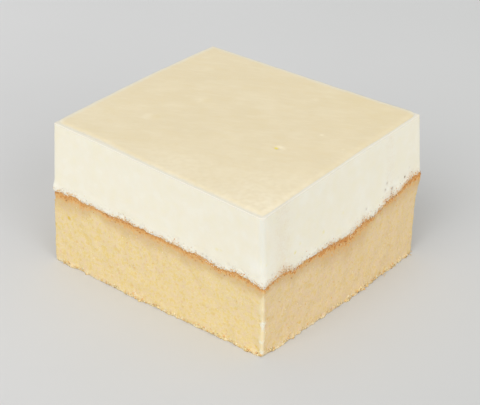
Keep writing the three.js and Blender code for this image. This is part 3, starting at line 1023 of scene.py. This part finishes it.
def glaze_grid():
    """The glaze's surface as a grid between its four edges."""
    front, right, back, left = (glaze_rim(side) for side in range(4))
    back, left = back[::-1], left[::-1]
    meetings = ((front, 0, left, 0), (front, -1, right, 0), (back, 0, left, -1), (back, -1, right, -1))
    for one, one_end, other, other_end in meetings:
        middle = (one[one_end] + other[other_end]) / 2
        one[one_end] = other[other_end] = middle
    u = np.linspace(0, 1, GLAZE_CELLS + 1)[:, None, None]
    v = np.linspace(0, 1, GLAZE_CELLS + 1)[None, :, None]
    ruled = front[:, None] * (1 - v) + back[:, None] * v + left[None] * (1 - u) + right[None] * u
    corners = (front[0] * (1 - u) + front[-1] * u) * (1 - v) + (back[0] * (1 - u) + back[-1] * u) * v
    return ruled - corners


def pale_share(x, y, z):
    return spots_sum(GLAZE_PALE_MARKS, x, y) * (1 + 0.5 * noise(x, y, 0, 43, 0.8))


grid = glaze_grid()
steps = np.arange(GLAZE_CELLS + 1) * GLAZE_CELL
from_front, from_left = steps[None, :], steps[:, None]
from_sides = (from_front, from_left[::-1], from_front[:, ::-1], from_left)
ease = np.ones(grid.shape[:2])
thin = np.zeros_like(ease)
for distance, feather, reach in zip(from_sides, GLAZE_FEATHER, THIN_REACH):
    ease = np.minimum(ease, distance / feather)
    thin = np.maximum(thin, 1 - distance / reach)
thickness = glaze_top(grid[..., 0], grid[..., 1]) - GLAZE_LIP_HEIGHT
top = GLAZE_LIP_HEIGHT + thickness * ease**2 * (3 - 2 * ease)
top_points = np.dstack([grid, top]).reshape(-1, 3)
index = np.arange(top.size).reshape(top.shape)
faces = faces_through(index[:-1, :-1], index[1:, :-1], index[1:, 1:], index[:-1, 1:])

# The underside: rings that shrink from the rim of the top to a point in the middle
loop = np.concatenate([index[:-1, 0], index[-1, :-1], index[:0:-1, -1], index[0, :0:-1]])
rings = close_face(top_points[loop], level(GLAZE_BASE_HEIGHT), (0.999, 0.9, 0.3))
points = np.concatenate([top_points, *rings, [[0, 0, GLAZE_BASE_HEIGHT]]])
loops = np.concatenate([loop[None], top.size + np.arange(len(rings) * len(loop)).reshape(len(rings), -1)])
turned = np.roll(loops, -1, axis=1)
faces += faces_through(turned[:-1], loops[:-1], loops[1:], turned[1:])
faces += faces_through(turned[-1], loops[-1], np.full_like(loop, len(points) - 1))
mesh = bpy.data.meshes.new("glaze_skin")
mesh.from_pydata((points * MM).tolist(), [], faces)
keep_on(mesh, "thin", np.concatenate([thin.reshape(-1), np.ones(len(points) - top.size)]))
give_share(mesh, "pale_mark", pale_share)
give_share(mesh, "deep_mark", partial(spots_sum, GLAZE_DEEP_MARKS))
glaze = put_in_scene(mesh)


def dimple_glaze(tree, where, given):
    dimples = add_sway(tree, where, 2.6, 2)
    return push_out(tree, given, add_product(tree, dimples, given["Dimple Depth"]), dimples)


glaze_material, tree, shader, where = new_material("milk glaze", 0.4, 0.35, 0.1, 1.0 * MM, (1, 0.85, 0.6))
grain = add_grain(tree, where, 0.5, 8)
spread = add_node(
    tree, "ShaderNodeMapping", {"vector_type": "TEXTURE"},
    Vector=where, Rotation=(0, 0, SPREAD_TURN), Scale=(SPREAD_STRETCH, 1, 1),
)
mottle = add_noise(tree, spread.outputs[0], 1.5, 2, 0.6)
thinned = add_scaled(tree, add_sway(tree, where, 1.5, 2), 0.5, "thin")
paint(
    tree, shader, GLAZE_YELLOW,
    (GLAZE_PALE, grain["Patch"], 0.2),
    (GLAZE_DEEP, grain["Deep"], 0.2),
    (GLAZE_PALE, mottle, 0.5, 0.7, 0.18),
    (GLAZE_DEEP, mottle, 0.5, 0.3, 0.18),
    (GLAZE_PALE, "pale_mark", 1),
    (GLAZE_DEEP, "deep_mark", 1),
    (GLAZE_BUBBLE, "deep_mark", 0.5, 0.95, 1),
    (GLAZE_THIN, thinned, 0.0, 0.95, 1),
)
add_bump(tree, shader, grain["Height"], 0.015)
dimple_tree = shape_tree("dimpled glaze", {"Dimple Depth": "Float"}, dimple_glaze)
apply_tree(glaze, dimple_tree, {"Material": glaze_material, "Dimple Depth": 0.018 * MM})
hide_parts("glaze")
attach(glaze, "root")

# The fallen crumbs: bits of the same soaked sponge that dropped along the foot as the cake
# was cut and set down. They lie loose on the table, close against the cut sides.
FALLEN_CRUMBS = (1.4, 0.18, 0.55)
FALLEN_HEIGHT = 0.12


def foot_bed():
    """A strip of the table's surface just outside the foot, where crumbs fall."""
    inner, outward = cut_outline(0.0)
    height = np.full(len(inner), FALLEN_HEIGHT)
    strips = [np.column_stack([inner + outward * out, height]) for out in (-0.15, 0.15, 0.5, 1.1)]
    return rings_to_mesh("foot_bed", strips)


def fallen_share(x, y, z):
    clusters = 0.35 + 0.9 * noise(x, y, 0, 71, 3)
    from_cut = np.maximum.reduce([-30.2 - y, y - 31.5, x - 33.4, -34.4 - x])
    return np.where(from_cut > -1.6, clusters * bell(np.clip(from_cut - 0.3, 0, None) ** 2, 0.5), 0)


fallen = scatter_on("fallen_crumbs", foot_bed(), fallen_share, FALLEN_CRUMBS, 12, crumb_material)
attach(fallen, "root")

# The table, the light and the camera: a pale grey surface between two soft studio lights,
# with the camera looking down on the cake's near edge. The panels and the table are in metres.
CAMERA_AZIMUTH = 39.02
CAMERA_ELEVATION = 30.14
CAMERA_ROLL = 0.63
CAMERA_DISTANCE = 496.0
CAMERA_TARGET = Vector((4.8, -4.1, 19.9))
CAMERA_LENS = 148.7
TABLE_TONE = srgb(220, 220, 220)
TABLE_SHADE_TONE = srgb(206, 207, 206)
TABLE_REACH = 3
PANEL_DISTANCE = 10
PANEL_SIZE = 7.5
ROOM_LIGHT = 0.6

table_corners = [(x * TABLE_REACH, y * TABLE_REACH, 0) for x, y in ((-1, -1), (1, -1), (1, 1), (-1, 1))]
table_mesh = bpy.data.meshes.new("table")
table_mesh.from_pydata(table_corners, [], [(0, 1, 2, 3)])
table = put_in_scene(table_mesh)
table_material, tree, shader, where = new_material("pale table", 0.6, 0.2)
# Painted shade: the table's tone darkens towards the right of the picture
across = add_vector_math(tree, "DOT_PRODUCT", where, (0.777, 0.629, 0))
across = add_scaled(tree, add_noise(tree, where, 60, 2), 0.1, across)
paint(tree, shader, TABLE_TONE, (TABLE_SHADE_TONE, across, -0.2, 0.27, 1))
table_mesh.materials.append(table_material)


def direction(azimuth, elevation):
    """The way to something at an azimuth from the front, round to the right, and an elevation."""
    azimuth, elevation = math.radians(azimuth), math.radians(elevation)
    level_reach = math.cos(elevation)
    return Vector((math.sin(azimuth) * level_reach, -math.cos(azimuth) * level_reach, math.sin(elevation)))


def soft_light(name, azimuth, elevation, power):
    """A large round panel, far enough from the cake for the table to be evenly lit."""
    data = bpy.data.lights.new(name, "AREA")
    data.shape = "DISK"
    data.size = PANEL_SIZE
    data.energy = power
    away = direction(azimuth, elevation) * PANEL_DISTANCE
    turned = away.to_track_quat("Z", "Y").to_matrix().to_4x4()
    put_in_scene(data).matrix_world = Matrix.Translation(away) @ turned


soft_light("left panel", 10, 44, 438)
soft_light("right panel", 74, 28, 288)

scene = bpy.context.scene
scene.world = bpy.data.worlds.new("room")
scene.world.use_nodes = True
background = scene.world.node_tree.nodes["Background"]
background.inputs["Color"].default_value = (1, 1, 1, 1)
background.inputs["Strength"].default_value = ROOM_LIGHT
scene.view_settings.view_transform = "Standard"

back = direction(CAMERA_AZIMUTH, CAMERA_ELEVATION)
sideways = Vector((0, 0, 1)).cross(back).normalized()
upright = back.cross(sideways)
roll = math.radians(CAMERA_ROLL)
right = sideways * math.cos(roll) + upright * math.sin(roll)
up = upright * math.cos(roll) - sideways * math.sin(roll)
lens = bpy.data.cameras.new("camera")
lens.lens = CAMERA_LENS
lens.sensor_width = 36
camera = put_in_scene(lens)
eye = (CAMERA_TARGET + back * CAMERA_DISTANCE) * MM
camera.matrix_world = Matrix.Translation(eye) @ Matrix((right, up, back)).transposed().to_4x4()
scene.camera = camera
